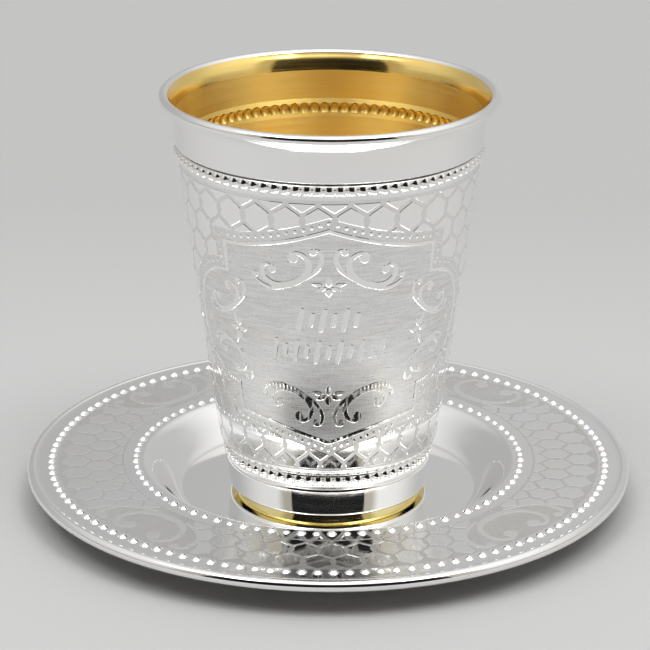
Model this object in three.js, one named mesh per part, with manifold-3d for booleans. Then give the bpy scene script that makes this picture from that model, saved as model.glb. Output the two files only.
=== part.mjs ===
// A kiddush cup of sheet silver on its matching saucer, in millimetres, +Z up.
// The origin is on the axis at the table. The front, where the cartouche's peak is, faces -Y.
// Angles are in degrees round the axis from the front, positive towards +X.
import * as THREE from 'three';
import { mergeVertices } from 'three/addons/utils/BufferGeometryUtils.js';
import Module from 'manifold-3d';

// ---- Driving dimensions ----

const SHEET = 0.8;              // thickness of the silver sheet in both pieces

const SAUCER = {
  segments: 56,
  floorRadius: 31.0,            // flat floor that the cup stands on
  wellRadius: 39.2,             // where the well's wall meets the brim
  brimTop: 7.3,                 // upper face of the flat brim
  edgeRadius: 63.6,             // outermost reach of the rolled edge
  rollRadius: 1.2,              // half the thickness of the rolled edge
  rollHeight: 6.3,              // centre of the rolled edge
  bandInner: 43.4,              // fine line round the inside of the ornamented band
};

const SAUCER_BEADS = {
  outer: { count: 120, radius: 58.3, halfWidth: 0.95, rise: 0.75, smallShare: 0.62 },
  inner: { count: 84, radius: 40.6, halfWidth: 0.95, rise: 0.75, smallShare: 0.62 },
};

// Heights of the cup are above its own contact ring.
const CUP = {
  segments: 48,
  contactInner: 17.6,           // flat ring that touches the saucer's floor
  contactOuter: 19.0,
  undersideHeight: 1.1,         // the sheet under the cup stands clear of the saucer
  footEdge: [20.8, 1.7],        // [radius, height] of the foot band's lower edge
  footTop: [21.4, 7.2],
  bodyBottom: [22.8, 12.4],     // lower end of the tapered wall
  bodyTop: [30.8, 72.0],        // upper end of the tapered wall
  bodySwell: 0.2,               // how far the wall bows out at its middle
  bandBottom: [31.55, 76.1],    // plain band under the lip
  bandTop: [32.15, 82.8],
  lipCentre: [33.75, 85.5],     // rolled lip
  lipRadius: 1.05,
};

const CUP_BEADS = {
  lower: { count: 64, radius: 21.45, height: 9.6, halfWidth: 1.0, rise: 0.65 },
  upper: { count: 87, radius: 30.95, height: 74.35, halfWidth: 0.9, rise: 0.65 },
};

// The raised line round each cartouche, one at the front and one at the back.
const CARTOUCHE = {
  facing: [0, 180],
  middle: 42.6,                 // height of its widest place
  peak: 23.6,                   // from the middle to the pointed top, and to the bottom
  shoulder: 18.7,               // from the middle to the upper corners
  notch: 12.4,                  // from the middle to where the side lobes begin
  shoulderAngle: 45,
  lobeAngle: 24,                // how far the side lobes reach past the shoulders
  lineWidth: 0.9,
  lineRise: 0.25,
};

// ---- Helpers ----

const radians = THREE.MathUtils.degToRad;
const mix = THREE.MathUtils.lerp;

/** The point at an angle (degrees), radius and height. */
function place(angle, radius, height) {
  const turn = radians(angle);
  return [radius * Math.sin(turn), -radius * Math.cos(turn), height];
}

/** A plain ring of points round the axis. */
function ring([radius, height], count) {
  return Array.from({ length: count }, (_, i) => place((360 * i) / count, radius, height));
}

/** Stations of an arc in the profile, from one angle to another, as [radius, height]. */
function arc([centreR, centreZ], radius, from, to, steps) {
  return Array.from({ length: steps + 1 }, (_, i) => {
    const turn = radians(mix(from, to, i / steps));
    return [centreR + radius * Math.cos(turn), centreZ + radius * Math.sin(turn)];
  });
}

/**
 * Rings that carry a row of beads pressed out of the sheet. Each bead has a point at its centre
 * and one where it meets its neighbour. `along` is the profile's direction there, as [r, z].
 */
function beadRings(row, centre, along, stations) {
  const outward = [along[1], -along[0]];
  return stations.map((station) => {
    const shift = station * row.halfWidth;
    const crown = row.rise * Math.sqrt(1 - station * station);
    return Array.from({ length: 2 * row.count }, (_, i) => {
      const isSmall = row.smallShare && i % 4 === 2;
      const share = i % 2 === 1 ? 0 : (isSmall ? row.smallShare : 1);
      const radius = centre[0] + shift * along[0] + share * crown * outward[0];
      const height = centre[1] + shift * along[1] + share * crown * outward[1];
      return place((180 * i) / row.count, radius, height);
    });
  });
}

/** Triangles between two rings, which may have different numbers of points. */
function bridge(lowStart, lowCount, highStart, highCount, triangles) {
  let low = 0;
  let high = 0;
  while (low < lowCount || high < highCount) {
    const a = lowStart + (low % lowCount);
    const b = highStart + (high % highCount);
    if ((low + 1) * highCount <= (high + 1) * lowCount) {
      low += 1;
      triangles.push(a, lowStart + (low % lowCount), b);
    } else {
      high += 1;
      triangles.push(a, highStart + (high % highCount), b);
    }
  }
}

/** One closed body from rings in the profile's order, capped on the axis at both ends. */
function bodyFromRings(firstHeight, rings, lastHeight) {
  const points = [[0, 0, firstHeight]];
  const triangles = [];
  const starts = rings.map((points_) => {
    const start = points.length;
    points.push(...points_);
    return start;
  });
  points.push([0, 0, lastHeight]);
  const first = rings[0].length;
  for (let i = 0; i < first; i += 1) {
    triangles.push(0, starts[0] + ((i + 1) % first), starts[0] + i);
  }
  for (let k = 0; k + 1 < rings.length; k += 1) {
    bridge(starts[k], rings[k].length, starts[k + 1], rings[k + 1].length, triangles);
  }
  const last = rings.length - 1;
  const lastCount = rings[last].length;
  for (let i = 0; i < lastCount; i += 1) {
    triangles.push(points.length - 1, starts[last] + i, starts[last] + ((i + 1) % lastCount));
  }
  return geometryOf(points.flat(), triangles);
}

function geometryOf(positions, indices) {
  const geometry = new THREE.BufferGeometry();
  geometry.setAttribute('position', new THREE.Float32BufferAttribute(positions, 3));
  geometry.setIndex(indices);
  return geometry;
}

// ---- Joining solids ----

const manifold = await Module();
manifold.setup();

function toSolid(geometry) {
  const merged = mergeVertices(geometry);
  const vertProperties = new Float32Array(merged.attributes.position.array);
  const triVerts = new Uint32Array(merged.index.array);
  return new manifold.Manifold(new manifold.Mesh({ numProp: 3, vertProperties, triVerts }));
}

function toGeometry(solid) {
  const mesh = solid.getMesh();
  return geometryOf(Array.from(mesh.vertProperties), Array.from(mesh.triVerts));
}

// ---- Saucer ----

/** Well wall in section: a soft S between the floor and the brim, as [radius, height]. */
function wellWall(drop, steps) {
  const inner = SAUCER.floorRadius;
  const outer = SAUCER.wellRadius;
  const floor = SHEET - drop;
  const brim = SAUCER.brimTop - drop;
  return Array.from({ length: steps + 1 }, (_, i) => {
    const t = i / steps;
    return [mix(inner, outer, t), mix(floor, brim, THREE.MathUtils.smoothstep(t, 0, 1))];
  });
}

function saucerGeometry() {
  const { segments, brimTop, rollRadius, rollHeight, edgeRadius } = SAUCER;
  const { outer, inner } = SAUCER_BEADS;
  const inward = [-1, 0];
  const plain = (stations) => stations.map((station) => ring(station, segments));
  const rollCentre = [edgeRadius - rollRadius, rollHeight];
  const beads = (row) => beadRings(row, [row.radius, brimTop], inward, [-0.6, 0.6]);
  const beside = (row, side) => [row.radius + side * row.halfWidth, brimTop];
  const rings = [
    ...plain(wellWall(SHEET, 3)),
    ...plain([[rollCentre[0] - rollRadius, brimTop - SHEET]]),
    ...plain(arc(rollCentre, rollRadius, -90, 90, 4)),
    ...plain([[rollCentre[0] - rollRadius, brimTop], beside(outer, 1)]),
    ...beads(outer),
    ...plain([beside(outer, -1), [SAUCER.bandInner, brimTop], beside(inner, 1)]),
    ...beads(inner),
    ...plain([beside(inner, -1)]),
    ...plain(wellWall(0, 4).reverse()),
  ];
  return bodyFromRings(0, rings, SHEET);
}

// ---- Cup ----

/** Outer radius of the tapered wall at a height. */
function wallRadius(height) {
  const [bottomR, bottomZ] = CUP.bodyBottom;
  const [topR, topZ] = CUP.bodyTop;
  const t = (height - bottomZ) / (topZ - bottomZ);
  return mix(bottomR, topR, t) + 4 * CUP.bodySwell * t * (1 - t);
}

/** Stations of the tapered wall from bottom to top, set in by `inset`. */
function wallStations(steps, inset) {
  return Array.from({ length: steps + 1 }, (_, i) => {
    const height = mix(CUP.bodyBottom[1], CUP.bodyTop[1], i / steps);
    return [wallRadius(height) - inset, height];
  });
}

function cupBody() {
  const { segments, contactInner, contactOuter, undersideHeight, footEdge, footTop } = CUP;
  const { bandBottom, bandTop, lipCentre, lipRadius } = CUP;
  const { lower, upper } = CUP_BEADS;
  const upward = [0, 1];
  const plain = (stations) => stations.map((station) => ring(station, segments));
  const beads = (row) => beadRings(row, [row.radius, row.height], upward, [-0.6, 0.6]);
  const beside = (row, side) => [row.radius, row.height + side * row.halfWidth];
  const floor = undersideHeight + SHEET;
  const rings = [
    // Underside, contact ring and foot.
    ...plain([[contactInner - 0.8, undersideHeight], [contactInner, 0], [contactOuter, 0]]),
    ...plain(arc([contactOuter, footEdge[1]], footEdge[0] - contactOuter, -45, 0, 1)),
    ...plain([footTop, beside(lower, -1)]),
    ...beads(lower),
    ...plain([beside(lower, 1), [CUP.bodyBottom[0] - 0.2, CUP.bodyBottom[1] - 1.1]]),
    // Tapered wall, bead row, plain band and rolled lip.
    ...plain(wallStations(3, 0)),
    ...plain([beside(upper, -1)]),
    ...beads(upper),
    ...plain([beside(upper, 1), bandBottom, bandTop]),
    ...plain(arc(lipCentre, lipRadius, -60, 165, 5)),
    // Inside, down to the floor.
    ...plain([[bandTop[0] - SHEET, bandTop[1]], [bandBottom[0] - SHEET, bandBottom[1]]]),
    ...plain(wallStations(2, SHEET).reverse()),
    ...plain([[footTop[0] - SHEET, footTop[1]], [footEdge[0] - SHEET, floor + 1.2]]),
    ...plain([[footEdge[0] - 2 * SHEET, floor]]),
  ];
  return bodyFromRings(undersideHeight, rings, floor);
}

/** Outline of a cartouche as [angle, height], once round from its peak. */
function cartoucheOutline() {
  const { middle, peak, shoulder, notch, shoulderAngle, lobeAngle } = CARTOUCHE;
  const quarter = [];
  const peakSteps = 4;
  for (let i = 0; i <= peakSteps; i += 1) {
    const t = i / peakSteps;
    quarter.push([shoulderAngle * t, mix(shoulder, peak, (1 - t) ** 1.6)]);
  }
  const lobeSteps = 6;
  for (let i = 0; i < lobeSteps; i += 1) {
    const turn = (Math.PI / 2) * (i / lobeSteps);
    quarter.push([shoulderAngle + lobeAngle * Math.sin(turn), notch * Math.cos(turn)]);
  }
  const below = quarter.map(([angle, rise]) => [angle, -rise]).reverse();
  const right = [...quarter, [shoulderAngle + lobeAngle, 0], ...below];
  const left = right.slice(1, -1).map(([angle, rise]) => [-angle, rise]).reverse();
  return [...right, ...left].map(([angle, rise]) => [angle, middle + rise]);
}

/** A raised line along a closed outline on the tapered wall, sunk in a little to join it. */
function lineOnWall(outline, facing) {
  const { lineWidth, lineRise } = CARTOUCHE;
  const count = outline.length;
  const flat = outline.map(([angle, height]) => ({ angle, height, radius: wallRadius(height) }));
  const direction = (a, b) => {
    const across = radians(b.angle - a.angle) * a.radius;
    const up = b.height - a.height;
    const length = Math.hypot(across, up);
    return [across / length, up / length];
  };
  const positions = [];
  const indices = [];
  for (let i = 0; i < count; i += 1) {
    const here = flat[i];
    const before = direction(flat[(i + count - 1) % count], here);
    const after = direction(here, flat[(i + 1) % count]);
    // The mitre at a corner is as wide as the line on both of its sides.
    const mitre = [-(before[1] + after[1]), before[0] + after[0]];
    const scale = lineWidth / (1 + before[0] * after[0] + before[1] * after[1]);
    const corners = [[0.5, lineRise], [-0.5, lineRise], [-0.5, -SHEET / 2], [0.5, -SHEET / 2]];
    for (const [side, lift] of corners) {
      const angle = here.angle + THREE.MathUtils.radToDeg((side * scale * mitre[0]) / here.radius);
      const height = here.height + side * scale * mitre[1];
      positions.push(...place(facing + angle, wallRadius(height) + lift, height));
    }
    const next = (i + 1) % count;
    for (let k = 0; k < 4; k += 1) {
      const [a, b] = [4 * i + k, 4 * i + ((k + 1) % 4)];
      const [c, d] = [4 * next + k, 4 * next + ((k + 1) % 4)];
      indices.push(a, b, c, b, d, c);
    }
  }
  return geometryOf(positions, indices);
}

function cupGeometry() {
  let solid = toSolid(cupBody());
  for (const facing of CARTOUCHE.facing) {
    solid = solid.add(toSolid(lineOnWall(cartoucheOutline(), facing)));
  }
  return toGeometry(solid);
}

// ---- Assembly ----

function silver(color, roughness) {
  return new THREE.MeshStandardMaterial({ color, roughness, metalness: 1 });
}

const saucer = new THREE.Mesh(saucerGeometry(), silver(0xd6d6d2, 0.2));
saucer.name = 'saucer';

const cup = new THREE.Mesh(cupGeometry(), silver(0xdcdcda, 0.28));
cup.name = 'cup';
cup.position.z = SHEET;

const kiddushCup = new THREE.Group();
kiddushCup.add(saucer, cup);

export default kiddushCup;
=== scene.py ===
"""A silver kiddush cup and its matching saucer.

Both are sheet silver with pressed beads, a rolled lip and edge, and etched ornament in which
polished metal stands slightly above a matte ground. Sizes are in millimetres, and heights of
the cup are above its own contact ring. Points of a section are [radius, height]. Angles are in
degrees round the axis from the front (-Y), positive towards +X.
"""
import math

import bpy
import numpy as np
from mathutils import Matrix, Vector
from mathutils.geometry import delaunay_2d_cdt


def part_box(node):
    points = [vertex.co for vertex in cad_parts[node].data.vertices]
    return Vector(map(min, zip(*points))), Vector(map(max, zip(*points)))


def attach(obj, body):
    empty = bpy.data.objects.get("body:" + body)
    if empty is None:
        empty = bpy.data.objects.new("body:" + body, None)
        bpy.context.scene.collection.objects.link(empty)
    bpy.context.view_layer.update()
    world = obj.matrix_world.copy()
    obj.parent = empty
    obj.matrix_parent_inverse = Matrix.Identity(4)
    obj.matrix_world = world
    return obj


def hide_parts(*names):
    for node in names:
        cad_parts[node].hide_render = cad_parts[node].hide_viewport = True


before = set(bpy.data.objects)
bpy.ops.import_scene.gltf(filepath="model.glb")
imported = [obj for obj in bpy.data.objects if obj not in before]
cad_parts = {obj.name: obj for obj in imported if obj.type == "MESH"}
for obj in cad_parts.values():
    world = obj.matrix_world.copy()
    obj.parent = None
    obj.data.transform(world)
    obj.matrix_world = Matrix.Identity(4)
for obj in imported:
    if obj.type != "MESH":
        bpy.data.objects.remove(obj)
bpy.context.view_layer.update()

MM = 0.001
TINY = 1e-12           # stands in for a length of nothing where it divides
WELD = 0.004           # points this close to each other are one
AROUND = 240           # points round a plain ring
BEAD_GRID = 10         # steps across the square patch that holds one bead
SHEET = 0.8            # thickness of the silver

# ---- Reach of the two pieces ----

cup_low, cup_high = (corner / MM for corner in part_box("cup"))
saucer_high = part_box("saucer")[1] / MM
CUP_BASE = cup_low.z
CUP_HEIGHT = cup_high.z - cup_low.z
SAUCER_REACH = saucer_high.x

# ---- Finishes, in the order of the materials on each piece ----

POLISHED, PRESSED, ETCHED, SHADED_ETCHED, BRUSHED, GILT, MOUTH_GILT, FOOT_GILT, SHADED_GROOVE = range(9)


def mix(a, b, t):
    return a + (b - a) * t


def cylinder(angle, radius, height):
    """Points in millimetres at angles (degrees), radii and heights."""
    turn = np.radians(angle)
    return np.stack(np.broadcast_arrays(radius * np.sin(turn), -radius * np.cos(turn), height), -1)


# ---- Skin: the growing mesh of one piece ----


class Skin:
    """Triangles with a finish and a normal at each corner."""

    def __init__(self):
        self.points = []
        self.triangles = []
        self.finishes = []
        self.normals = []
        self.total = 0

    def add(self, points, triangles, finish, normals):
        triangles = np.asarray(triangles, int)
        self.points.append(np.asarray(points, float))
        self.triangles.append(triangles + self.total)
        self.finishes.append(np.broadcast_to(finish, len(triangles)))
        self.normals.append(normals)
        self.total += len(points)

    def build(self, name, base, materials):
        """Joins the parts where they meet and makes the object, standing at height `base`."""
        points = np.concatenate(self.points)
        triangles = np.concatenate(self.triangles)
        finishes = np.concatenate(self.finishes)
        normals = np.concatenate(self.normals)
        key = np.round(points / WELD).astype(np.int64)
        _, first, same = np.unique(key, axis=0, return_index=True, return_inverse=True)
        points = points[first] + (0, 0, base)
        triangles = same.reshape(-1)[triangles]
        sound = (
            (triangles[:, 0] != triangles[:, 1])
            & (triangles[:, 1] != triangles[:, 2])
            & (triangles[:, 2] != triangles[:, 0])
        )
        triangles = triangles[sound]
        mesh = bpy.data.meshes.new(name)
        mesh.from_pydata((points * MM).tolist(), [], triangles.tolist())
        mesh.polygons.foreach_set("material_index", finishes[sound].astype(np.int32))
        for material in materials:
            mesh.materials.append(material)
        mesh.shade_smooth()
        mesh.normals_split_custom_set(normals[sound].reshape(-1, 3).tolist())
        mesh.update()
        piece = bpy.data.objects.new(name, mesh)
        bpy.context.scene.collection.objects.link(piece)
        return piece


# ---- Turned surfaces ----


def ring(radius, height, normal, count=AROUND):
    """A ring of points; `normal` is its [radial, up] direction."""
    angles = np.arange(count) * 360 / count
    size = math.hypot(*normal)
    return {
        "points": cylinder(angles, radius, height),
        "normals": cylinder(angles, normal[0] / size, normal[1] / size),
    }


def bridge(low_count, high_count):
    """Triangles between a lower ring and an upper ring with any numbers of points."""
    triangles = []
    low = high = 0
    while low < low_count or high < high_count:
        a = low % low_count
        b = low_count + high % high_count
        if (low + 1) * high_count <= (high + 1) * low_count:
            low += 1
            triangles.append((a, low % low_count, b))
        else:
            high += 1
            triangles.append((a, low_count + high % high_count, b))
    return np.array(triangles)


def join_rings(skin, low, high, finish):
    triangles = bridge(len(low["points"]), len(high["points"]))
    normals = np.concatenate([low["normals"], high["normals"]])
    skin.add(np.concatenate([low["points"], high["points"]]), triangles, finish, normals[triangles])


def turned(skin, stations, finish, first_count=AROUND, last_count=AROUND):
    """A smooth turned stretch through [radius, height] stations, its outside on the right."""
    path = np.array(stations, float)
    steps = np.diff(path, axis=0)
    steps /= np.linalg.norm(steps, axis=1)[:, None]
    tangents = np.concatenate([steps[:1], steps[:-1] + steps[1:], steps[-1:]])
    rings = []
    for i, ((radius, height), (across, up)) in enumerate(zip(path, tangents)):
        count = first_count if i == 0 else last_count if i == len(path) - 1 else AROUND
        rings.append(ring(radius, height, (up, -across), count))
    for low, high in zip(rings, rings[1:]):
        join_rings(skin, low, high, finish)


def disc(skin, radius, height, facing, finish):
    """A flat disc on the axis; `facing` is 1 for up and -1 for down."""
    edge = ring(radius, height, (0, facing))["points"]
    points = np.concatenate([[(0, 0, height)], edge])
    around = np.arange(AROUND)
    after = (around + 1) % AROUND
    pair = (around, after) if facing > 0 else (after, around)
    triangles = np.stack([np.zeros(AROUND, int), pair[0] + 1, pair[1] + 1], -1)
    normals = np.broadcast_to((0, 0, float(facing)), (AROUND, 3, 3))
    skin.add(points, triangles, finish, normals)


def follow(skin, start, section):
    """Turned stretches one after another, with an edge between them: [finish, stations] each."""
    for finish, stations in section:
        turned(skin, [start, *stations], finish)
        start = stations[-1]


def arc(centre, radius, start, end, steps):
    turns = np.radians(np.linspace(start, end, steps + 1))
    return [(centre[0] + radius * math.cos(t), centre[1] + radius * math.sin(t)) for t in turns]


def curve(points, steps=8):
    """A Catmull-Rom curve through the points."""
    path = np.array(points, float)
    ends = 2 * path[[0, -1]] - path[[1, -2]]
    path = np.concatenate([ends[:1], path, ends[1:]])
    t = np.linspace(0, 1, steps, endpoint=False)[:, None]
    parts = []
    for a, b, c, d in zip(path, path[1:], path[2:], path[3:]):
        parts.append(
            0.5 * (2 * b + (c - a) * t + (2 * a - 5 * b + 4 * c - d) * t**2
                   + (3 * b - a - 3 * c + d) * t**3)
        )
    return np.concatenate([*parts, path[-2:-1]])


# ---- Beads pressed out of the sheet ----


def bead_faces(on_bead):
    """Triangles of one bead's patch, and whether each lies on the bead itself."""
    faces = []
    for j in range(BEAD_GRID):
        for i in range(BEAD_GRID):
            low = j * (BEAD_GRID + 1) + i
            high = low + BEAD_GRID + 1
            # The diagonal runs round the bead, so that its rings stay round.
            if (i < BEAD_GRID / 2) == (j < BEAD_GRID / 2):
                faces += [(low, low + 1, high), (low + 1, high + 1, high)]
            else:
                faces += [(low, low + 1, high + 1), (low, high + 1, high)]
    faces = np.array(faces)
    return faces, on_bead.ravel()[faces].all(axis=1)


def bead_row(skin, row, finish):
    """A row of domes. The row's `along` is the section's direction there, as [radial, up]."""
    (radius, height), along = row["centre"], row["along"]
    count, size, rise = row["count"], row["size"], row["rise"]
    outward = (along[1], -along[0])
    step = np.linspace(-1, 1, BEAD_GRID + 1)
    a, b = np.meshgrid(step, step)
    level = np.maximum(abs(a), abs(b))
    length = np.maximum(np.hypot(a, b), TINY)
    on_bead = level < 1 - 1 / BEAD_GRID
    faces, bead_triangles = bead_faces(on_bead)
    pitch = math.radians(360 / count) * radius
    reach = np.minimum(level / (1 - 2 / BEAD_GRID), 1)
    for k in range(count):
        share = row.get("small", 1) if k % 2 else 1
        across = np.where(on_bead, size * share * reach * a / length, a * pitch / 2)
        up = np.where(on_bead, size * share * reach * b / length, b * row["half_width"])
        lift = np.where(on_bead, rise * share * (1 - reach**2), 0)
        angle = 360 * k / count + np.degrees(across / radius)
        points = cylinder(
            angle,
            radius + up * along[0] + lift * outward[0],
            height + up * along[1] + lift * outward[1])
        # The dome's own normal on the bead, the sheet's normal beside it.
        steepness = 2 * rise / size * reach
        side = steepness * a / length
        ahead = steepness * b / length
        normal = np.stack(
            [side, ahead * along[0] + outward[0], ahead * along[1] + outward[1]], -1)
        normal /= np.linalg.norm(normal, axis=-1)[..., None]
        turn = np.radians(angle)
        bead_normals = np.stack(
            [normal[..., 0] * np.cos(turn) + normal[..., 1] * np.sin(turn),
             normal[..., 0] * np.sin(turn) - normal[..., 1] * np.cos(turn),
             normal[..., 2]], -1)
        sheet_normals = cylinder(angle, outward[0], outward[1])
        normals = np.where(
            bead_triangles[:, None, None],
            bead_normals.reshape(-1, 3)[faces],
            sheet_normals.reshape(-1, 3)[faces])
        skin.add(points.reshape(-1, 3), faces, finish, normals)


def beaded(skin, before, row, after, finish):
    """A bead row with the turned stretches that lead up to it and away from it."""
    along, half_width = np.array(row["along"]), row["half_width"]
    low = np.array(row["centre"]) - half_width * along
    high = np.array(row["centre"]) + half_width * along
    points = row["count"] * BEAD_GRID
    turned(skin, [*before, low], finish, AROUND, points)
    bead_row(skin, row, finish)
    turned(skin, [high, *after], finish, points)


# ---- Flat design: outlines that become relief ----

BEVEL = 0.12           # width of the slope at the edges of the relief
MITRE_LIMIT = 0.3      # keeps a sharp corner from running out into a spike
CUT_PRECISION = 1e-5
MARGIN = 7.5           # degrees by which a design runs on past its ends before it is cut
COLUMN_STEP = 1.5      # degrees between the columns of points that let a sheet bend


def columns_of(span, scale):
    """Places across a design, in millimetres, at which its sheet has points."""
    return np.arange(-span - MARGIN, span + MARGIN + 0.1, COLUMN_STEP) * scale


def signed_area(outline):
    x, y = outline.T
    return 0.5 * np.sum(x * np.roll(y, -1) - np.roll(x, -1) * y)


def anticlockwise(outline):
    outline = np.asarray(outline, float)
    return outline[::-1] if signed_area(outline) < 0 else outline


def offset(outline, distance):
    """The outline moved outwards by a distance, with mitred corners."""
    outline = np.asarray(outline, float)
    before = outline - np.roll(outline, 1, axis=0)
    after = np.roll(outline, -1, axis=0) - outline
    before /= np.linalg.norm(before, axis=1)[:, None]
    after /= np.linalg.norm(after, axis=1)[:, None]
    bisector = np.stack([before[:, 1] + after[:, 1], -before[:, 0] - after[:, 0]], -1)
    scale = 1 + np.sum(before * after, axis=1)
    return outline + distance * bisector / np.maximum(scale, MITRE_LIMIT)[:, None]


def circle(centre, radius, sides=12):
    turns = np.arange(sides) * 2 * math.pi / sides
    return np.stack([centre[0] + radius * np.cos(turns), centre[1] + radius * np.sin(turns)], -1)


def stroke(points, widths):
    """The outline of a curved stroke whose full width changes along it."""
    path = curve(points)
    place = np.linspace(0, 1, len(path))
    half = np.interp(place, np.linspace(0, 1, len(widths)), widths) / 2
    tangent = np.gradient(path, axis=0)
    tangent /= np.linalg.norm(tangent, axis=1)[:, None]
    side = np.stack([-tangent[:, 1], tangent[:, 0]], -1) * half[:, None]
    return np.concatenate([path - side, (path + side)[::-1]])


def petal(base, angle, length, width):
    """A pointed petal from its base, at an angle from straight up, widest below its middle."""
    t = np.linspace(0, 1, 7)
    half = width / 2 * np.sin(math.pi * t**0.8) ** 0.9
    right = np.stack([half[1:-1], length * t[1:-1]], -1)
    left = right[::-1] * (-1, 1)
    outline = np.concatenate([[(0, 0)], right, [(0, length)], left])
    turn = math.radians(angle)
    rotation = np.array([[math.cos(turn), -math.sin(turn)], [math.sin(turn), math.cos(turn)]])
    return outline @ rotation + base


def moved(outlines, centre, scale=1.0, flip=(1, 1), turn=0.0):
    """Copies of the outlines, scaled, turned, mirrored and moved to a centre."""
    angle = math.radians(turn)
    rotation = np.array([[math.cos(angle), math.sin(angle)], [-math.sin(angle), math.cos(angle)]])
    return [np.asarray(line) * scale @ rotation * flip + centre for line in outlines]


def scroll():
    """A C-scroll with curled ends and a leaf springing from each shoulder."""
    main = stroke(
        [(1.0, 3.3), (2.3, 3.75), (3.9, 3.0), (4.7, 1.1), (3.6, -1.3), (0.6, -3.1),
         (-2.6, -3.4), (-4.8, -2.0), (-5.2, -0.3), (-4.2, 0.75), (-3.0, 0.45)],
        [0.6, 0.9, 1.1, 1.25, 1.45, 1.55, 1.4, 1.15, 0.95, 0.75, 0.6])
    right_leaf = stroke(
        [(5.5, 4.7), (6.7, 4.3), (7.3, 2.6), (6.4, 0.4), (4.2, -1.5), (2.4, -2.6)],
        [0.5, 0.8, 1.0, 1.0, 0.8, 0.45])
    left_leaf = stroke(
        [(-7.2, -2.2), (-6.1, -3.3), (-4.2, -4.1), (-2.0, -4.2), (0.8, -3.6)],
        [0.5, 0.75, 0.85, 0.75, 0.45])
    balls = [circle(c, r, 14) for c, r in (
        ((1.6, 2.7), 1.1), ((-3.0, -0.1), 0.95), ((5.6, 4.1), 0.78), ((-6.9, -1.8), 0.74))]
    return [main, right_leaf, left_leaf, *balls]


def palmette():
    """A small palmette: a pointed leaf above a drop, and two pairs of spread leaves."""
    leaves = [petal((0, 0.3), 0, 2.2, 1.35), petal((0, 0.1), 180, 2.0, 1.5)]
    for side in (-1, 1):
        leaves.append(petal((0.45 * side, 0.3), 114 * side, 2.2, 1.1))
        leaves.append(petal((0.9 * side, 0.6), 80 * side, 2.5, 0.95))
    return leaves


KNOT = 0.26            # how far the knots of the lattice's lines reach into a cell


def lattice_cell(half_pitch, half_height, half_side, line):
    """One cell of the lattice: pointed above and below, with a knot in each upright side."""
    inset = line / 2
    slope = (half_height - half_side) / half_pitch
    top = half_height - inset * math.hypot(1, slope)
    edge = half_pitch - inset
    shoulder = top - slope * edge
    # From the top point down the slope, round the shoulder and in to the knot.
    quarter = [
        (0.0, top),
        (0.45 * edge, top - 0.43 * slope * edge),
        (0.86 * edge, top - 0.85 * slope * edge),
        (edge, shoulder - 0.12),
        (edge - 0.02, 0.62 * shoulder),
        (edge - KNOT, 0.28 * shoulder),
    ]
    right = quarter + [(x, -y) for x, y in quarter[::-1]]
    left = [(-x, y) for x, y in right[::-1]]
    return np.array((right + left[1:-1])[::-1])


STROKES = {"pitch": 2.2, "short": 0.62, "slant": 0.2, "widths": (0.7, 1.05, 1.05, 0.7)}


def writing(width, height):
    """A row of plain slanted strokes, alternately tall and short, that spell nothing."""
    pitch = STROKES["pitch"]
    count = int(width // pitch)
    strokes = []
    for i in range(count):
        x = (i - (count - 1) / 2) * pitch
        half = height / 2 * (STROKES["short"] if i % 2 else 1)
        lean = STROKES["slant"] * half
        ends = [(x - lean, -half), (x - lean / 2, -half / 2), (x + lean / 2, half / 2), (x + lean, half)]
        strokes.append(stroke(ends, STROKES["widths"]))
    return strokes


class Design:
    """Outlines on a flat sheet, sorted by what they are, cut into triangles together."""

    def __init__(self):
        self.points = []
        self.edges = []
        self.faces = []
        self.kinds = []

    def outline(self, kind, points):
        points = anticlockwise(points)
        start = len(self.points)
        self.points += [tuple(p) for p in points]
        self.faces.append(list(range(start, start + len(points))))
        self.kinds.append(kind)

    def raised(self, kind, points):
        """An outline at the ground and one a bevel inside it at the top."""
        points = anticlockwise(points)
        self.outline(kind, points)
        self.outline(kind + " top", offset(points, -BEVEL))

    def strip(self, kind, columns, low, high):
        """A level strip with a point at every column, so that it can be bent round the axis."""
        self.outline(kind, [(x, low) for x in columns] + [(x, high) for x in columns[::-1]])

    def sheet(self, columns, heights, reach, coarse):
        """The whole sheet, cut at either end, with points all over it so that it can be bent."""
        self.strip("sheet", columns, heights[0], heights[-1])
        for x in (-reach, reach):
            self.line([(x, y) for y in heights])
        for x in columns[coarse - 1::coarse]:
            if abs(abs(x) - reach) > 0.01:
                self.points += [(x, y) for y in heights[coarse:-1:coarse]]

    def line(self, points):
        start = len(self.points)
        self.points += [tuple(p) for p in points]
        self.edges += [(start + i, start + i + 1) for i in range(len(points) - 1)]

    def cut(self):
        """Points, triangles, and for each triangle the kinds of outline it lies in."""
        points = [Vector(p) for p in self.points]
        made = delaunay_2d_cdt(points, self.edges, self.faces, 0, CUT_PRECISION, True)
        flat, _, faces, _, _, sources = made
        kinds = [{self.kinds[i] for i in source} for source in sources]
        return np.array([(p.x, p.y) for p in flat]), np.array(faces), kinds


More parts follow.
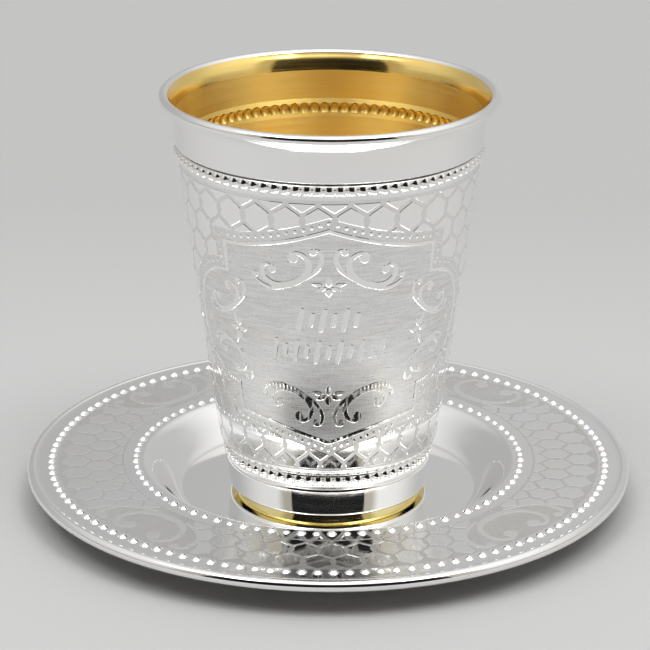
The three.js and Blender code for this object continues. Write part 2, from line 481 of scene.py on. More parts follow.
def relief(skin, design, reach, height, top_of, finish_of, place, normal, copies):
    """Adds the sheet of a design to a skin, lifting what `top_of` picks by `height`.

    The design is cut off at `reach` on either side and laid `copies` times round the axis.
    """
    flat, faces, kinds = design.cut()
    kept = abs(flat[faces].mean(axis=1)[:, 0]) < reach
    kept &= np.array(["sheet" in k for k in kinds])
    faces = faces[kept]
    kinds = [k for k, ok in zip(kinds, kept) if ok]
    top = np.array([top_of(k) for k in kinds])
    finish = np.array([finish_of(k) for k in kinds])
    is_top = np.zeros(len(flat), bool)
    is_top[faces[top].ravel()] = True
    lift = np.where(is_top, height, 0.0)
    level = is_top[faces].all(axis=1) == is_top[faces].any(axis=1)
    for k in range(copies):
        turn = 360 * k / copies
        points = place(flat, lift, turn)
        sheet = normal(flat, turn)[faces]
        corners = points[faces]
        slope = np.cross(corners[:, 1] - corners[:, 0], corners[:, 2] - corners[:, 0])
        slope /= np.maximum(np.linalg.norm(slope, axis=1), TINY)[:, None]
        normals = np.where(level[:, None, None], sheet, slope[:, None, :])
        skin.add(points, faces, finish, normals)


# ---- Cup: its section ----

CONTACT_INNER = 17.6
CONTACT_OUTER = 19.0
UNDERSIDE = 1.1        # height of the sheet's lower face under the cup's floor
RECESS_ROUND = 0.6     # radius of the corner of the hollow under the foot
RECESS_RADIUS = CONTACT_INNER - 2 * RECESS_ROUND
FOOT_TOP = (21.4, 7.0)
BODY_BOTTOM = (22.8, 12.4)
BODY_TOP = (30.8, 72.0)
BODY_SWELL = 0.2       # how far the wall bulges past a straight taper
WALL_LOW, WALL_HIGH = 12.4, 72.6
BAND_TOP = (32.15, 82.8)
INNER_BAND_BOTTOM = (31.55 - SHEET, 76.4)
LIP_RADIUS = 1.05
LIP_CENTRE = (cup_high.x - LIP_RADIUS, CUP_HEIGHT - LIP_RADIUS)
FLOOR = UNDERSIDE + SHEET
FLOOR_ROUND = 2.0      # radius of the corner between the floor and the wall, inside
FLOOR_RADIUS = 18.2

LEANING_OUT = (0.24, 0.97)
DOWN = (0, -1)
UPPER_BEADS = {
    "centre": (31.1, 74.4), "along": LEANING_OUT,
    "count": 87, "size": 1.26, "rise": 0.75, "half_width": 1.15,
}
LOWER_BEADS = {
    "centre": (21.5, 9.5), "along": LEANING_OUT,
    "count": 64, "size": 1.2, "rise": 0.75, "half_width": 1.1,
}
# The backs of the upper beads, inside the cup.
DENTS = {
    "centre": (31.1 - SHEET, 74.4), "along": DOWN,
    "count": 87, "size": 1.2, "rise": -0.6, "half_width": 1.0,
}

RECESS_WALL = [
    *arc((RECESS_RADIUS, UNDERSIDE - RECESS_ROUND), RECESS_ROUND, 90, 0, 4),
    (CONTACT_INNER - 0.6, 0.3),
    (CONTACT_INNER - 0.3, 0),
]
# From the contact ring up its outer wall and out under the foot band, round the band's lower
# edge, up the band and into the groove above it.
FOOT_SECTION = [
    (GILT, [(CONTACT_OUTER, 0)]),
    (FOOT_GILT, [(19.02, 0.6), (19.05, 1.2)]),
    (FOOT_GILT, [(19.12, 1.32), (19.4, 1.38), (20.5, 1.45)]),
    (POLISHED, [(20.7, 1.54), (20.82, 1.8), (20.86, 2.25)]),
    (POLISHED, [(21.0, 3.4), (21.2, 5.4), FOOT_TOP]),
    (POLISHED, [(FOOT_TOP[0] - 0.05, 7.3), (21.2, 7.5)]),
]
FOOT_GROOVE = [(21.2, 7.5), (21.15, 7.9)]
LEDGE = [(21.6, 10.8), (21.65, 11.0)]
COVE = [(21.65, 11.0), (22.0, 11.35), (22.45, 11.75), (22.8, 12.4)]
STEP_IN = [(31.2, 75.75), (31.05, 75.85)]
# Along the groove's bottom, painted dark as shade, up the plain band and the cove under the lip.
BAND_SECTION = [
    (SHADED_GROOVE, [(30.95, 76.2), (31.35, 76.12)]),
    (POLISHED, [(31.52, 76.18), (31.58, 76.35)]),
    (POLISHED, [(31.8, 79.0), (32.05, 82.0), BAND_TOP]),
    (POLISHED, [(32.3, 83.1), (32.6, 83.7), (33.0, 84.3)]),
]
# From the lip down the flared mouth and the inside of the plain band.
MOUTH = [
    *arc(LIP_CENTRE, LIP_RADIUS, 150, 160, 1),
    (32.3, 85.3), (31.85, 84.6), (31.52, 83.6), (31.25, 82.5),
]
INNER_BAND = [(31.25, 82.5), (31.05, 80.0), INNER_BAND_BOTTOM]
INNER_FOOT = [(21.4, 10.9), (20.8, 9.2), (20.6, 7.2), (20.3, 4.6)]

# ---- Cup: its ornament ----

CUP_RELIEF = 0.055     # how far polished metal stands above the etched ground
CUP_SCALE = 0.47       # millimetres of the wall's design per degree
CUP_SPAN = 90          # degrees that the design covers to either side of its middle

CARTOUCHE = {
    "middle": 42.6, "peak": 23.6, "shoulder": 18.7, "notch": 12.4,
    "shoulder_angle": 45, "lobe_angle": 24,
}
LINE_WIDTH = 0.85
BORDER_WIDTH = 2.5     # matte border outside the cartouche's line, with its dots
BORDER_PITCH = 1.6
DOTS = {"out": 1.55, "radius": 0.4}
FLECKS = {"out": 0.88, "radius": 0.16}

LATTICE_LOW, LATTICE_HIGH = 12.9, 71.9
LATTICE_TURN = 2.0
CELLS_AROUND = 30
CELL_ROWS = 13
FIRST_ROW = 13.0
ROW_STEP = 5.0
CUP_CELL = {"half_height": 3.55, "half_side": 1.45, "line": 0.7}

# Places in the cartouche: degrees from its middle line, millimetres from its middle height.
FIELD_SCROLL = {"aside": 17, "away": 14.9, "scale": (0.92, 1.0), "turn": 0}
LOBE_SCROLL = {"aside": 48, "away": 6.4, "scale": (0.8, 0.84), "turn": 10}
LOBE_PALMETTE = {"aside": 41.5, "scale": 1.05}
LOBE_BALL = {"aside": 62, "radius": 0.65}
UPPER_PALMETTE = {"height": 11.2, "scale": 1.0}
LOWER_PALMETTE = {"height": -13.0, "scale": 1.1}
UPPER_WRITING = {"height": 4.2, "width": 15}
LOWER_WRITING = {"height": -2.9, "width": 25.5}
WRITING_HEIGHT = 5.2


def wall_radius(height):
    t = (height - BODY_BOTTOM[1]) / (BODY_TOP[1] - BODY_BOTTOM[1])
    return mix(BODY_BOTTOM[0], BODY_TOP[0], t) + 4 * BODY_SWELL * t * (1 - t)


def wall_slope(height):
    return wall_radius(height + 0.5) - wall_radius(height - 0.5)


def cartouche_outline():
    """The cartouche on the flat design, once round from its peak."""
    c = CARTOUCHE
    t = np.linspace(0, 1, 19)
    top = np.stack([c["shoulder_angle"] * t, mix(c["shoulder"], c["peak"], (1 - t) ** 1.6)], -1)
    turns = np.linspace(0, math.pi / 2, 22)
    lobe = np.stack(
        [c["shoulder_angle"] + c["lobe_angle"] * np.sin(turns), c["notch"] * np.cos(turns)], -1)
    quarter = np.concatenate([top, lobe])
    right = np.concatenate([quarter, quarter[-2::-1] * (1, -1)])
    outline = np.concatenate([right, right[-2:0:-1] * (-1, 1)])
    return outline * (CUP_SCALE, 1) + (0, c["middle"])


def spaced(outline, pitch, start=0.0):
    """Evenly spaced points along a closed outline, from its first point."""
    closed = np.concatenate([outline, outline[:1]])
    run = np.concatenate([[0], np.cumsum(np.linalg.norm(np.diff(closed, axis=0), axis=1))])
    count = 2 * round(run[-1] / pitch / 2)
    place = (np.arange(count) + start) * run[-1] / count
    return np.stack([np.interp(place, run, closed[:, i]) for i in (0, 1)], -1)


def inside(points, outline):
    """Whether each point lies in a closed outline."""
    x, y = np.asarray(points, float).T[:, :, None]
    ax, ay = outline.T
    bx, by = np.roll(outline, -1, axis=0).T
    crosses = (ay > y) != (by > y)
    where_x = ax + (y - ay) * (bx - ax) / np.where(by == ay, TINY, by - ay)
    return (crosses & (x < where_x)).sum(axis=1) % 2 == 1


def motifs():
    """Scrolls, palmettes and strokes of the cartouche's field, alike on the left and right."""
    middle = CARTOUCHE["middle"]
    made = []
    for side in (-1, 1):
        for up in (-1, 1):
            for place in (FIELD_SCROLL, LOBE_SCROLL):
                centre = (place["aside"] * CUP_SCALE * side, middle + place["away"] * up)
                made += moved(scroll(), centre, place["scale"], (-side, up), place["turn"])
        leaf = (LOBE_PALMETTE["aside"] * CUP_SCALE * side, middle)
        made += moved(palmette(), leaf, LOBE_PALMETTE["scale"], (1, 1), -90 * side)
        made.append(circle((LOBE_BALL["aside"] * CUP_SCALE * side, middle), LOBE_BALL["radius"]))
    for place in (UPPER_PALMETTE, LOWER_PALMETTE):
        made += moved(palmette(), (0, middle + place["height"]), place["scale"])
    for place in (UPPER_WRITING, LOWER_WRITING):
        made += moved(writing(place["width"], WRITING_HEIGHT), (0, middle + place["height"]))
    return made


def cup_design():
    design = Design()
    columns = columns_of(CUP_SPAN, CUP_SCALE)
    design.sheet(columns, np.linspace(WALL_LOW, WALL_HIGH, 49), CUP_SPAN * CUP_SCALE, 2)
    edge = cartouche_outline()
    design.outline("line", offset(edge, -LINE_WIDTH / 2))
    design.outline("line top", offset(edge, -LINE_WIDTH / 2 + BEVEL))
    design.outline("hole top", offset(edge, LINE_WIDTH / 2 - BEVEL))
    design.outline("hole", offset(edge, LINE_WIDTH / 2))
    border = offset(edge, -BORDER_WIDTH)
    design.outline("border", border)
    design.outline("border wide", offset(edge, -BORDER_WIDTH - BEVEL))
    for point in spaced(offset(edge, -DOTS["out"]), BORDER_PITCH):
        design.raised("dot", circle(point, DOTS["radius"], 10))
    for point in spaced(offset(edge, -FLECKS["out"]), BORDER_PITCH, 0.5):
        design.outline("fleck", circle(point, FLECKS["radius"], 6))
    for kind, inset in (("cells", 0), ("cells top", BEVEL)):
        design.strip(kind, columns, LATTICE_LOW + inset, LATTICE_HIGH - inset)
    pitch = 360 / CELLS_AROUND
    cell = lattice_cell(pitch / 2 * CUP_SCALE, **CUP_CELL)
    for row in range(CELL_ROWS):
        shift = LATTICE_TURN + (row % 2) * pitch / 2
        for column in range(-9, 10):
            centre = ((shift + column * pitch) * CUP_SCALE, FIRST_ROW + row * ROW_STEP)
            on_sheet = abs(centre[0]) < (CUP_SPAN + 5) * CUP_SCALE
            if on_sheet and not inside(cell + centre, border).all():
                design.raised("cell", cell + centre)
    for motif in motifs():
        design.raised("motif", motif)
    return design


def cup_top(kinds):
    return (
        ("line top" in kinds and "hole top" not in kinds)
        or "dot top" in kinds
        or "motif top" in kinds
        or ("cell top" in kinds and "cells top" in kinds and "border wide" not in kinds)
    )


def cup_finish(kinds):
    if "line" in kinds and "hole" not in kinds:
        return POLISHED
    if kinds & {"dot", "motif", "fleck"}:
        return POLISHED
    if "cell" in kinds and "cells" in kinds and "border" not in kinds:
        return PRESSED
    return BRUSHED if "hole" in kinds else ETCHED


def wall_place(flat, lift, turn):
    return cylinder(flat[:, 0] / CUP_SCALE + turn, wall_radius(flat[:, 1]) + lift, flat[:, 1])


def wall_normal(flat, turn):
    slope = wall_slope(flat[:, 1])
    size = np.hypot(1, slope)
    return cylinder(flat[:, 0] / CUP_SCALE + turn, 1 / size, -slope / size)


def make_cup(materials):
    skin = Skin()
    disc(skin, RECESS_RADIUS, UNDERSIDE, -1, GILT)
    turned(skin, RECESS_WALL, GILT)
    follow(skin, RECESS_WALL[-1], FOOT_SECTION)
    beaded(skin, FOOT_GROOVE, LOWER_BEADS, LEDGE, POLISHED)
    turned(skin, COVE, POLISHED)
    # The ornamented wall, front and back alike.
    relief(skin, cup_design(), CUP_SPAN * CUP_SCALE, CUP_RELIEF, cup_top, cup_finish,
           wall_place, wall_normal, 2)
    wall_top = wall_radius(WALL_HIGH)
    beaded(skin, [(wall_top, WALL_HIGH), (30.85, 73.0)], UPPER_BEADS, STEP_IN, POLISHED)
    follow(skin, STEP_IN[-1], BAND_SECTION)
    turned(skin, arc(LIP_CENTRE, LIP_RADIUS, -120, 150, 28), POLISHED)
    # The inside, with the backs of the upper beads, down to the rounded floor.
    turned(skin, MOUTH, MOUTH_GILT)
    turned(skin, INNER_BAND, GILT)
    beaded(skin, [INNER_BAND_BOTTOM, (30.5, 75.9)], DENTS, [(wall_top - SHEET, WALL_HIGH)], GILT)
    wall = [(wall_radius(z) - SHEET, z) for z in np.linspace(WALL_HIGH, BODY_BOTTOM[1], 13)]
    turned(skin, [*wall, *INNER_FOOT], GILT)
    corner = arc((FLOOR_RADIUS, FLOOR + FLOOR_ROUND), FLOOR_ROUND, 0, -90, 8)
    turned(skin, [INNER_FOOT[-1], *corner], GILT)
    turned(skin, [(FLOOR_RADIUS, FLOOR), (10.0, FLOOR), (3.0, FLOOR)], GILT)
    disc(skin, 3.0, FLOOR, 1, GILT)
    return skin.build("cup_silverwork", CUP_BASE, materials)


# ---- Saucer: its section ----

BED_RADIUS = 31.0      # flat floor that the cup stands on
WELL_RADIUS = 39.2
BRIM_TOP = 7.3
BRIM_UNDER = BRIM_TOP - SHEET
ROLL_RADIUS = 1.2
ROLL_CENTRE = (SAUCER_REACH - ROLL_RADIUS, 6.3)
ROLL_END = 118         # where the roll runs out into the brim, in degrees

OUTER_BEADS = {
    "centre": (58.5, BRIM_TOP), "along": (-1, 0),
    "count": 120, "size": 1.06, "small": 0.94, "rise": 0.62, "half_width": 1.1,
}
INNER_BEADS = {
    "centre": (40.7, BRIM_TOP), "along": (-1, 0),
    "count": 84, "size": 1.02, "small": 0.8, "rise": 0.62, "half_width": 1.1,
}

# ---- Saucer: its ornament ----

BRIM_RELIEF = 0.018    # how far polished metal stands above the etched ground, which is painted darker as shade
BRIM_SCALE = 0.85      # millimetres of the brim's design per degree
BRIM_SPAN = 45         # degrees that the design covers to either side of its middle
BRIM_TURN = -1.1       # how far the brim's ornament is turned from the cup's front
SHEET_INNER = 42.4     # the ornament's sheet ends here, inside its bordering line
BAND_INNER = 43.4
BAND_OUTER = 57.2

CELL_RADII = (53.5, 48.4, 43.3)
BRIM_CELLS_AROUND = 56
BRIM_CELL = {"half_height": 3.55, "half_side": 1.55, "line": 0.65}
CELLS_TO = 40          # degrees from the middle at which the cells give way to the scrolls
SCROLL_RADIUS = 50.2
SCROLL_SCALE = (0.97, 1.0)
GROUND_RADIUS = 55     # centre of the oval ground behind a scroll
GROUND = (12.9, 10.9)  # its half width and half height


def brim_scroll():
    """A wide C-scroll that opens towards the rim, with a leaf outside each end."""
    made = []
    for side in (-1, 1):
        main = stroke(
            [(-0.3, 4.3), (3.3, 3.9), (6.4, 1.9), (7.5, -1.2), (6.9, -4.0), (5.1, -5.5), (3.4, -5.0)],
            [1.7, 1.6, 1.35, 1.2, 1.05, 0.9, 0.9])
        leaf = stroke(
            [(9.6, -5.9), (11.3, -5.2), (12.1, -2.6), (11.6, 0.5), (8.9, 3.0), (4.6, 4.8)],
            [0.7, 1.1, 1.3, 1.3, 1.1, 0.6])
        balls = [circle((3.3, -3.7), 1.45, 18), circle((9.4, -5.3), 0.95, 14)]
        made += [line * (side, 1) for line in (main, leaf, *balls)]
    return made


def scroll_ground(centre, grow):
    """The oval ground behind a scroll, cut off level just inside the band's outer edge."""
    turns = np.radians(np.arange(0, 360, 8))
    oval = np.stack([GROUND[0] * np.cos(turns), GROUND[1] * np.sin(turns)], -1)
    points = offset(oval, grow) + centre
    points[:, 1] = np.maximum(points[:, 1], -BAND_OUTER + 0.12 - grow / 2)
    moves_on = abs(np.diff(points, axis=0)).sum(axis=1) > 1e-6
    return points[np.r_[True, moves_on]]


def saucer_design():
    design = Design()
    columns = columns_of(BRIM_SPAN, BRIM_SCALE)
    reach = BRIM_SPAN * BRIM_SCALE
    design.sheet(columns, np.linspace(-BAND_OUTER, -SHEET_INNER, 12), reach, 1)
    for side in (-1, 1):
        for kind, grow in (("group", 0), ("group wide", BEVEL)):
            design.outline(kind, scroll_ground((reach * side, -GROUND_RADIUS), grow))
        for line in moved(brim_scroll(), (reach * side, -SCROLL_RADIUS), SCROLL_SCALE):
            design.raised("motif", line)
    for kind, inset in (("cells", 0), ("cells top", BEVEL)):
        design.strip(kind, columns, -BAND_OUTER + 0.25 + inset, -BAND_INNER - 0.35 - inset)
    design.strip("band", columns, -BAND_OUTER + 0.05, -BAND_INNER)
    pitch = 360 / BRIM_CELLS_AROUND
    cell = lattice_cell(pitch / 2 * BRIM_SCALE, **BRIM_CELL)
    for row, radius in enumerate(CELL_RADII):
        shift = 0 if row == 1 else pitch / 2
        for column in range(-8, 8):
            x = (shift + column * pitch) * BRIM_SCALE
            if abs(x) < CELLS_TO * BRIM_SCALE:
                design.raised("cell", cell + (x, -radius))
    return design


def saucer_top(kinds):
    return "motif top" in kinds or (
        "cell top" in kinds and "cells top" in kinds and "group wide" not in kinds)


def saucer_finish(kinds):
    if "band" not in kinds:
        return POLISHED
    if "motif" in kinds or ("cell" in kinds and "cells" in kinds and "group" not in kinds):
        return PRESSED
    # The matte ground, in the etched finish painted darker as shade on the brim.
    return SHADED_ETCHED


def brim_place(flat, lift, turn):
    return cylinder(flat[:, 0] / BRIM_SCALE + turn, -flat[:, 1], BRIM_TOP + lift)


def brim_normal(flat, turn):
    return np.broadcast_to((0.0, 0.0, 1.0), (len(flat), 3))


def well(drop, steps=18):
    """The well's wall in section, from the floor up to the brim."""
    t = np.linspace(0, 1, steps + 1)
    rise = t * t * (3 - 2 * t)
    return [(mix(BED_RADIUS, WELL_RADIUS, a), mix(SHEET, BRIM_TOP, b) - drop)
            for a, b in zip(t, rise)]


def make_saucer(materials):
    skin = Skin()
    disc(skin, 24.0, 0.0, -1, POLISHED)
    turned(skin, [(24.0, 0.0), (30.0, 0.0), *well(SHEET), (40.5, BRIM_UNDER),
                  (52.0, BRIM_UNDER), (61.0, BRIM_UNDER)], POLISHED)
    # The rolled edge, with the fine groove where the sheet comes back to itself.
    turned(skin, [(61.0, BRIM_UNDER), (61.15, ROLL_CENTRE[1])], POLISHED)
    roll = arc(ROLL_CENTRE, ROLL_RADIUS, -180, ROLL_END, 40)
    turned(skin, roll, POLISHED)
    beaded(skin, [roll[-1], (61.4, BRIM_TOP), (60.6, BRIM_TOP)], OUTER_BEADS,
           [(BAND_OUTER, BRIM_TOP)], POLISHED)
    relief(skin, saucer_design(), BRIM_SPAN * BRIM_SCALE, BRIM_RELIEF, saucer_top,
           saucer_finish, brim_place, brim_normal, 4)
    beaded(skin, [(SHEET_INNER, BRIM_TOP)], INNER_BEADS, [(WELL_RADIUS, BRIM_TOP)], POLISHED)
    turned(skin, well(0)[::-1], POLISHED)
    turned(skin, [(BED_RADIUS, SHEET), (26.0, SHEET), (20.0, SHEET), (10.0, SHEET)], POLISHED)
    disc(skin, 10.0, SHEET, 1, POLISHED)
    piece = skin.build("saucer_silverwork", 0.0, materials)
    piece.data.transform(Matrix.Rotation(math.radians(-BRIM_TURN), 4, "Z"))
    return piece


# ---- Materials ----


def add_node(tree, kind, links=None, **settings):
    """A new node with its settings made and its sockets linked or set to values."""
    node = tree.nodes.new(kind)
    for key, value in settings.items():
        setattr(node, key, value)
    for key, value in (links or {}).items():
        if isinstance(value, bpy.types.NodeSocket):
            tree.links.new(value, node.inputs[key])
        else:
            node.inputs[key].default_value = value
    return node


class Shader:
    """One material, and the nodes that it is made of."""

    def __init__(self, name, metallic=0.0):
        self.material = bpy.data.materials.new(name)
        self.material.use_nodes = True
        self.tree = self.material.node_tree
        self.surface = self.tree.nodes["Principled BSDF"]
        self.surface.inputs["Metallic"].default_value = metallic

    def node(self, kind, links=None, **settings):
        return add_node(self.tree, kind, links, **settings)

    def link(self, source, target):
        self.tree.links.new(source, self.surface.inputs[target])

    def math(self, operation, a, b):
        return self.node("ShaderNodeMath", {0: a, 1: b}, operation=operation).outputs[0]

    def in_place(self, across=1.0, up=1.0):
        """Object coordinates in metres, stretched so that noise over them runs in streaks."""
        place = self.node("ShaderNodeTexCoord").outputs["Object"]
        stretch = {0: place, 1: (across, across, up)}
        return self.node("ShaderNodeVectorMath", stretch, operation="MULTIPLY").outputs[0]

    def noise(self, scale, detail=2.0, roughness=0.5):
        """Even noise; `scale` is its cycles per metre."""
        return self.noise_over(self.in_place(), scale, detail, roughness)

    def streaks(self, across, up, detail=2.0, roughness=0.5):
        """Noise with different cycles per metre across the piece and up it."""
        return self.noise_over(self.in_place(across, up), 1.0, detail, roughness)

    def noise_over(self, vector, scale, detail, roughness):
        settings = {"Vector": vector, "Scale": scale, "Detail": detail, "Roughness": roughness}
        return self.node("ShaderNodeTexNoise", settings).outputs["Fac"]

    def between(self, value, low, high, start=0.3, end=0.7):
        links = {"Value": value, "From Min": start, "From Max": end, "To Min": low, "To Max": high}
        return self.node("ShaderNodeMapRange", links).outputs["Result"]

    def blend(self, value, first, second, start=0.35, end=0.65):
        ramp = self.node("ShaderNodeValToRGB", {"Fac": value})
        low, high = ramp.color_ramp.elements
        low.position, high.position = start, end
        low.color, high.color = (*first, 1), (*second, 1)
        return ramp.outputs["Color"]

    def bump(self, height, strength, distance, normal=None):
        links = {"Height": height, "Strength": strength, "Distance": distance}
        if normal is not None:
            links["Normal"] = normal
        return self.node("ShaderNodeBump", links).outputs["Normal"]


def grey(level):
    return (level, level, level)


def polished_silver():
    s = Shader("polished_silver", metallic=1.0)
    tone = s.noise(38.0, detail=3.0)
    s.link(s.blend(tone, grey(0.93), (0.92, 0.912, 0.89)), "Base Color")
    wear = s.streaks(120.0, 900.0, detail=4.0, roughness=0.65)
    s.link(s.between(wear, 0.03, 0.08), "Roughness")
    waves = s.bump(s.noise(140.0, detail=1.0), strength=0.10, distance=0.0002)
    scratches = s.streaks(300.0, 6000.0, detail=3.0)
    s.link(s.bump(scratches, 0.05, 0.00002, waves), "Normal")
    return s.material


def pressed_silver():
    s = Shader("pressed_silver", metallic=1.0)
    tone = s.noise(70.0, detail=3.0)
    s.link(s.blend(tone, grey(0.94), (0.925, 0.915, 0.89)), "Base Color")
    s.link(s.between(s.noise(500.0, detail=3.0), 0.03, 0.08), "Roughness")
    waves = s.bump(s.noise(420.0), strength=0.12, distance=0.0001)
    tool_marks = s.streaks(4200.0, 500.0, detail=3.0)
    s.link(s.bump(tool_marks, 0.08, 0.00003, waves), "Normal")
    return s.material


def etched_silver(name, light, warm):
    s = Shader(name, metallic=1.0)
    s.link(s.blend(s.noise(60.0, detail=3.0), light, warm), "Base Color")
    s.link(s.between(s.noise(900.0, detail=3.0), 0.3, 0.42), "Roughness")
    grain = s.noise(7000.0, roughness=0.7)
    s.link(s.bump(grain, 0.35, 0.00004), "Normal")
    return s.material


def brushed_silver():
    s = Shader("brushed_silver", metallic=1.0)
    along = s.streaks(220.0, 6400.0, detail=4.0, roughness=0.6)
    across = s.streaks(5200.0, 420.0, detail=3.0, roughness=0.6)
    brushing = s.math("ADD", s.math("MULTIPLY", along, 0.75), s.math("MULTIPLY", across, 0.25))
    patches = s.streaks(60.0, 220.0, detail=3.0, roughness=0.6)
    light = s.blend(brushing, grey(0.71), grey(0.90), 0.42, 0.58)
    warm = s.blend(patches, grey(1.0), (0.985, 0.965, 0.92), 0.5, 0.75)
    mixed = s.node("ShaderNodeMix", {"Factor": 1.0, "A": light, "B": warm},
                   data_type="RGBA", blend_type="MULTIPLY")
    s.link(mixed.outputs["Result"], "Base Color")
    s.link(s.between(brushing, 0.24, 0.36), "Roughness")
    s.link(s.bump(brushing, 0.22, 0.00004), "Normal")
    return s.material


def shaded_groove_silver():
    """Silver painted dark at the bottom of the groove under the band: painted shade where the groove
    lies in shadow.
    """
    s = Shader("shaded_groove_silver", metallic=1.0)
    tone = s.streaks(260.0, 900.0, detail=3.0)
    s.link(s.blend(tone, (0.04, 0.04, 0.038), (0.30, 0.29, 0.27)), "Base Color")
    s.link(s.between(tone, 0.3, 0.5), "Roughness")
    s.link(s.bump(s.noise(3000.0), 0.2, 0.00003), "Normal")
    return s.material


def gilding(name, deep, light, smooth, rough, blur):
    """Gilding turned on the lathe: `blur` smears what it mirrors up and down."""
    s = Shader(name, metallic=1.0)
    s.surface.inputs["Anisotropic"].default_value = blur
    s.surface.inputs["Anisotropic Rotation"].default_value = 0.25
    round_axis = s.node("ShaderNodeTangent", direction_type="RADIAL", axis="Z")
    s.link(round_axis.outputs["Tangent"], "Tangent")
    turning = s.streaks(60.0, 3000.0, detail=4.0, roughness=0.6)
    clouds = s.streaks(110.0, 30.0)
    s.link(s.blend(turning, deep, light), "Base Color")
    worn = s.math("ADD", s.math("MULTIPLY", turning, 0.6), s.math("MULTIPLY", clouds, 0.4))
    s.link(s.between(worn, smooth, rough, 0.38, 0.62), "Roughness")
    waves = s.bump(s.noise(120.0, detail=1.0), strength=0.10, distance=0.0002)
    s.link(s.bump(turning, 0.16, 0.00004, waves), "Normal")
    return s.material


# ---- Pieces ----

finishes = [
    polished_silver(),
    pressed_silver(),
    etched_silver("etched_silver", (0.84, 0.84, 0.835), (0.80, 0.795, 0.775)),
    # The etched finish again, painted darker for the saucer's upward-facing brim: painted shade.
    etched_silver("shaded_etched_silver", (0.71, 0.71, 0.70), (0.68, 0.665, 0.635)),
    brushed_silver(),
    gilding("turned_gilding", deep=(1.0, 0.72, 0.21), light=(1.0, 0.78, 0.26),
            smooth=0.30, rough=0.50, blur=0.90),
    gilding("mouth_gilding", deep=(1.0, 0.71, 0.22), light=(1.0, 0.75, 0.28),
            smooth=0.10, rough=0.20, blur=0.7),
    gilding("foot_gilding", deep=(0.88, 0.74, 0.34), light=(0.92, 0.79, 0.40),
            smooth=0.04, rough=0.10, blur=0.0),
    # Painted shade: near-black silver for the bottom of the groove under the band.
    shaded_groove_silver(),
]

cup = make_cup(finishes)
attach(cup, "root")
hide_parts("cup")

saucer = make_saucer(finishes)
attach(saucer, "root")
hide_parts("saucer")

# ---- Floor, light and camera, in metres ----

FLOOR_HALF = 6.0
# The floor's colour is painted darker towards the back: painted shade where the light falls off.
FLOOR_NEAR = grey(0.52)
FLOOR_FAR = grey(0.43)

LAMP_PLACE = (-0.3, -0.3, 1.5)
LAMP_SIZE = 1.6
LAMP_TILT = 11
LAMP_WATTS = 0.6

# Brightness of the tent's back and sides, at shares of the way from the horizon to the zenith.
TENT_TOP = ((0.92, 1.6), (1.0, 1.9))
TENT_BACK = ((0.0, 0.45), (0.31, 0.47), (0.42, 0.62), (0.56, 0.80), (0.84, 0.80), *TENT_TOP)
TENT_SIDES = ((0.0, 0.65), (0.31, 0.75), (0.42, 0.85), (0.6, 1.0), (0.68, 1.7), *TENT_TOP)
TENT_STRENGTH = 1.2
LESS_FROM_LEFT = 0.2
CANVAS = (0.44, 0.415, 0.355, 1)
OPENING = (0.012, 0.012, 0.012, 1)
PANEL = (4.5, 4.5, 4.5, 1)

CAMERA_PLACE = (0, -531.2, 230.7)      # in millimetres
CAMERA_LENS = 150.0
CAMERA_DOWN, CAMERA_RIGHT, CAMERA_ROLL = 20.07, -0.083, 0.205


def make_floor():
    mesh = bpy.data.meshes.new("floor")
    corners = [(x * FLOOR_HALF, y * FLOOR_HALF, 0) for x, y in ((-1, -1), (1, -1), (1, 1), (-1, 1))]
    mesh.from_pydata(corners, [], [(0, 1, 2, 3)])
    floor = bpy.data.objects.new("floor", mesh)
    bpy.context.scene.collection.objects.link(floor)
    s = Shader("pale_floor")
    # Painted shade: the floor's colour darkens towards the back.
    depth = s.node("ShaderNodeSeparateXYZ", {0: s.in_place()}).outputs["Y"]
    s.link(s.blend(depth, FLOOR_NEAR, FLOOR_FAR, 0.0, 0.2), "Base Color")
    s.surface.inputs["Roughness"].default_value = 0.7
    mesh.materials.append(s.material)


def make_lamp():
    """A wide soft lamp overhead that lights the floor and is not mirrored in the metal."""
    data = bpy.data.lights.new("overhead", "AREA")
    data.shape = "DISK"
    data.size = LAMP_SIZE
    data.energy = LAMP_WATTS
    lamp = bpy.data.objects.new("overhead", data)
    lamp.location = LAMP_PLACE
    lamp.rotation_euler = (math.radians(LAMP_TILT), math.radians(-LAMP_TILT), 0)
    lamp.visible_glossy = False
    bpy.context.scene.collection.objects.link(lamp)


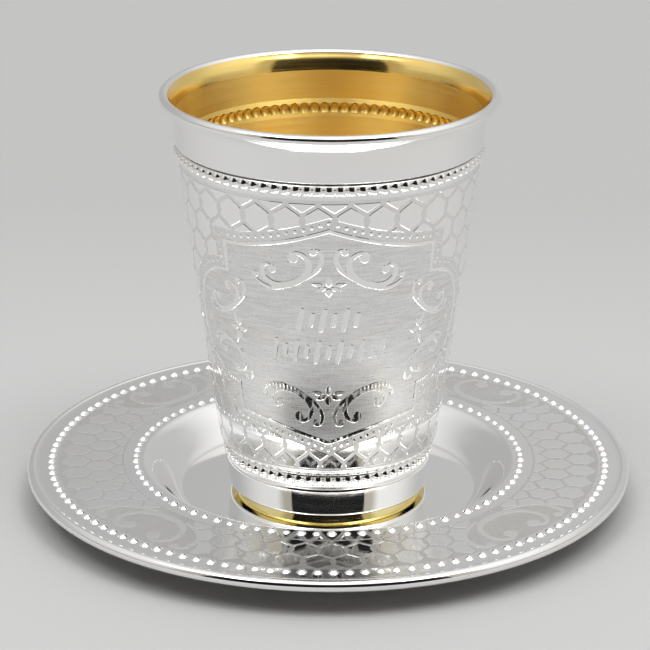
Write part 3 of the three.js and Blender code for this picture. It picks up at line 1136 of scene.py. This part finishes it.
def make_tent():
    """A white tent with a dark opening in front and a bright panel high up on either side of it."""
    world = bpy.data.worlds.new("tent")
    world.use_nodes = True
    bpy.context.scene.world = world
    tree = world.node_tree
    background = tree.nodes["Background"]

    def calc(operation, a, b=0.0):
        return add_node(tree, "ShaderNodeMath", {0: a, 1: b}, operation=operation).outputs[0]

    def fade(value, start, end):
        """One below `start`, falling to nothing at `end`."""
        links = {"Value": value, "From Min": start, "From Max": end, "To Min": 1.0, "To Max": 0.0}
        return add_node(tree, "ShaderNodeMapRange", links, interpolation_type="SMOOTHSTEP").outputs[0]

    def within(angle, start, end):
        """The same for an angle, with its ends in degrees."""
        return fade(angle, math.radians(start), math.radians(end))

    def levels(angle, stops):
        """Grey levels at shares of a right angle."""
        ramp = add_node(tree, "ShaderNodeValToRGB", {"Fac": calc("DIVIDE", angle, math.pi / 2)})
        elements = ramp.color_ramp.elements
        while len(elements) < len(stops):
            elements.new(0.5)
        for element, (position, value) in zip(elements, stops):
            element.position = position
            element.color = (*grey(value), 1)
        return ramp.outputs["Color"]

    def painted(mask, under, colour):
        links = {"Factor": mask, "A": under, "B": colour}
        return add_node(tree, "ShaderNodeMix", links, data_type="RGBA").outputs["Result"]

    direction = add_node(tree, "ShaderNodeTexCoord").outputs["Generated"]
    parts = add_node(tree, "ShaderNodeSeparateXYZ", {0: direction}).outputs
    turn = calc("ABSOLUTE", calc("ARCTAN2", parts["X"], calc("MULTIPLY", parts["Y"], -1.0)))
    height = calc("ARCSINE", parts["Z"])

    # Warm canvas flaps beside the opening, and a low wall of it further round.
    flaps = calc("MULTIPLY", within(turn, 53, 66), within(height, 50, 60))
    low_wall = calc("MULTIPLY", within(turn, 100, 125), within(height, 9, 17))
    opening = calc("MULTIPLY", within(turn, 44.5, 46), within(height, 45, 47))
    beside_opening = calc("SUBTRACT", within(turn, 75, 95), within(turn, 28, 40))
    panels = calc("MULTIPLY", beside_opening, calc("SUBTRACT", 1.0, within(height, 48, 54)))

    colour = painted(within(turn, 80, 135), levels(height, TENT_BACK), levels(height, TENT_SIDES))
    colour = painted(calc("MAXIMUM", flaps, low_wall), colour, CANVAS)
    colour = painted(opening, colour, OPENING)
    colour = painted(panels, colour, PANEL)
    tree.links.new(colour, background.inputs["Color"])
    from_left = calc("MULTIPLY", fade(parts["X"], -0.15, 0.15), LESS_FROM_LEFT)
    strength = calc("SUBTRACT", TENT_STRENGTH, from_left)
    tree.links.new(strength, background.inputs["Strength"])


def make_camera():
    data = bpy.data.cameras.new("camera")
    data.lens = CAMERA_LENS
    data.sensor_width = 36.0
    camera = bpy.data.objects.new("camera", data)
    bpy.context.scene.collection.objects.link(camera)
    down, aside, roll = (math.radians(a) for a in (CAMERA_DOWN, CAMERA_RIGHT, CAMERA_ROLL))
    level = math.cos(down)
    ahead = Vector((math.sin(aside) * level, math.cos(aside) * level, -math.sin(down)))
    right = Vector((math.cos(aside), -math.sin(aside), 0))
    up = right.cross(ahead)
    tilted_right = math.cos(roll) * right + math.sin(roll) * up
    tilted_up = -math.sin(roll) * right + math.cos(roll) * up
    rotation = Matrix((tilted_right, tilted_up, -ahead)).transposed()
    camera.matrix_world = Matrix.Translation(Vector(CAMERA_PLACE) * MM) @ rotation.to_4x4()
    bpy.context.scene.camera = camera


make_floor()
make_lamp()
make_tent()
make_camera()
bpy.context.scene.view_settings.view_transform = "Standard"
